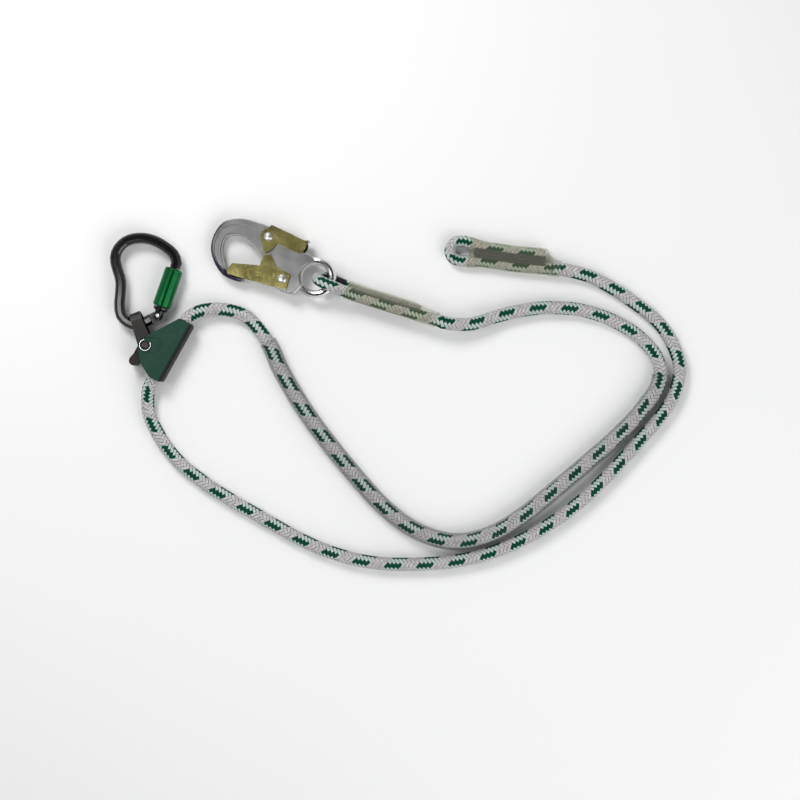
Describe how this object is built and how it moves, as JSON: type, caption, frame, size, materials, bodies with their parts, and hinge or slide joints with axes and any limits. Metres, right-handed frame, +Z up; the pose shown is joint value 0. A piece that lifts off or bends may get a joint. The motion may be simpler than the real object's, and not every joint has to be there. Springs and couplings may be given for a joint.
{
  "type": "rope positioning lanyard",
  "caption": "Adjustable tree climbing lanyard: braided rope with sewn eyes, a locking snap hook on one end, a cam rope adjuster with a locking carabiner, and a clear wear sleeve.",
  "frame": {"origin": "on the floor under the centre of the box around the metal hardware", "axes": "+X runs from the carabiner towards the snap hook's eye, +Z is up from the floor the lanyard lies on, +Y completes the right-handed set and is up the page of the layout"},
  "size_m": [0.5522, 0.3389, 0.032],
  "materials": {
    "braided_rope": "tight herringbone braid, grey with green tracer marks",
    "clear_sleeve": "clear flexible tube, glossy, lightly scuffed",
    "shrink_cover": "clear heat-shrunk film, glossy",
    "stitching": "dark polyester thread, dense zigzag rows",
    "guard": "black, matt",
    "green_paint": "dark green, satin",
    "dark_cast": "dark brown-black, satin",
    "olive_strap": "dark olive, satin, worn where it bends",
    "bright_steel": "bright",
    "black_alloy": "black anodised, satin",
    "green_alloy": "bright green anodised, satin",
    "forged_steel": "forged and tumbled, satin",
    "zinc_steel": "yellow-olive zinc plating, satin"
  },
  "bodies": {
    "lanyard": {"rope": "braided_rope", "wear_sleeve": "clear_sleeve", "hook_eye_loop": "braided_rope", "hook_eye_guard": "guard", "hook_eye_stitching": "stitching", "hook_eye_cover": "shrink_cover", "tail_eye_loop": "braided_rope", "tail_eye_stitching": "stitching", "tail_eye_cover": "shrink_cover", "adjuster_shell": "green_paint", "cam_pin": "bright_steel", "cam_pin_clip": "bright_steel", "cam_spring": "bright_steel"},
    "adjuster_cam": {"adjuster_cam": "dark_cast"},
    "adjuster_bail": {"adjuster_bail": "olive_strap"},
    "carabiner": {"carabiner_body": "black_alloy", "gate_hinge_rivet": "bright_steel"},
    "carabiner_gate": {"carabiner_gate": "black_alloy", "gate_plunger": "bright_steel", "gate_return_spring": "bright_steel", "lock_guide_pin": "bright_steel", "lock_spring": "bright_steel"},
    "lock_collar": {"lock_collar": "black_alloy"},
    "lock_sleeve": {"lock_sleeve": "green_alloy"},
    "snap_hook": {"hook_body": "forged_steel", "hook_gate_rivet": "bright_steel", "hook_gate_spring": "bright_steel", "lock_lever_rivet": "bright_steel", "lock_lever_spring": "bright_steel"},
    "hook_gate": {"hook_gate": "zinc_steel"},
    "lock_lever": {"lock_lever": "zinc_steel"}
  },
  "joints": [
    {"name": "cam_swing", "type": "hinge", "parent": "lanyard", "child": "adjuster_cam", "pos_m": [-0.0733, -0.0437, 0.0106], "axis": [0, 0, 1], "range_deg": [0, 22], "stiffness_Nm_per_rad": 0.1, "springref_deg": -17.19},
    {"name": "bail_swing", "type": "hinge", "parent": "lanyard", "child": "adjuster_bail", "pos_m": [-0.0733, -0.0437, 0.0106], "axis": [0, 0, 1], "range_deg": [-12, 40]},
    {"name": "carabiner_swing", "type": "hinge", "parent": "adjuster_bail", "child": "carabiner", "pos_m": [-0.0807, -0.0235, 0.0101], "axis": [0.9852, 0.1713, 0], "range_deg": [0, 60]},
    {"name": "carabiner_gate_swing", "type": "hinge", "parent": "carabiner", "child": "carabiner_gate", "pos_m": [-0.0623, -0.0151, 0.0101], "axis": [0, 0, 1], "range_deg": [0, 22], "stiffness_Nm_per_rad": 0.5, "springref_deg": -22.92},
    {"name": "lock_slide", "type": "slide", "parent": "carabiner_gate", "child": "lock_collar", "axis": [0.3289, 0.9444, 0], "range_m": [-0.0015, 0], "stiffness_N_per_m": 300, "springref_m": 0.003},
    {"name": "lock_twist", "type": "hinge", "parent": "lock_collar", "child": "lock_sleeve", "pos_m": [-0.0623, -0.0151, 0.0101], "axis": [0.3289, 0.9444, 0], "range_deg": [0, 90], "stiffness_Nm_per_rad": 0.01, "springref_deg": -28.65},
    {"name": "snap_hook_swing", "type": "hinge", "parent": "lanyard", "child": "snap_hook", "pos_m": [0.10381, 0.01515, 0.01708], "axis": [0.3616, 0.9323, 0], "range_deg": [0, 75]},
    {"name": "hook_gate_swing", "type": "hinge", "parent": "snap_hook", "child": "hook_gate", "pos_m": [0.05762, 0.01943, 0.01252], "axis": [0.0957, -0.0265, -0.9951], "range_deg": [0, 22], "stiffness_Nm_per_rad": 0.5, "springref_deg": -22.92},
    {"name": "lock_lever_press", "type": "hinge", "parent": "snap_hook", "child": "lock_lever", "pos_m": [0.04432, 0.05975, 0.01017], "axis": [0.0957, -0.0265, -0.9951], "range_deg": [0, 14], "stiffness_Nm_per_rad": 0.2, "springref_deg": -17.19}
  ],
  "couplings": [
    {"joint": "lock_lever_press", "follows": "hook_gate_swing", "ratio": 0.636}
  ]
}
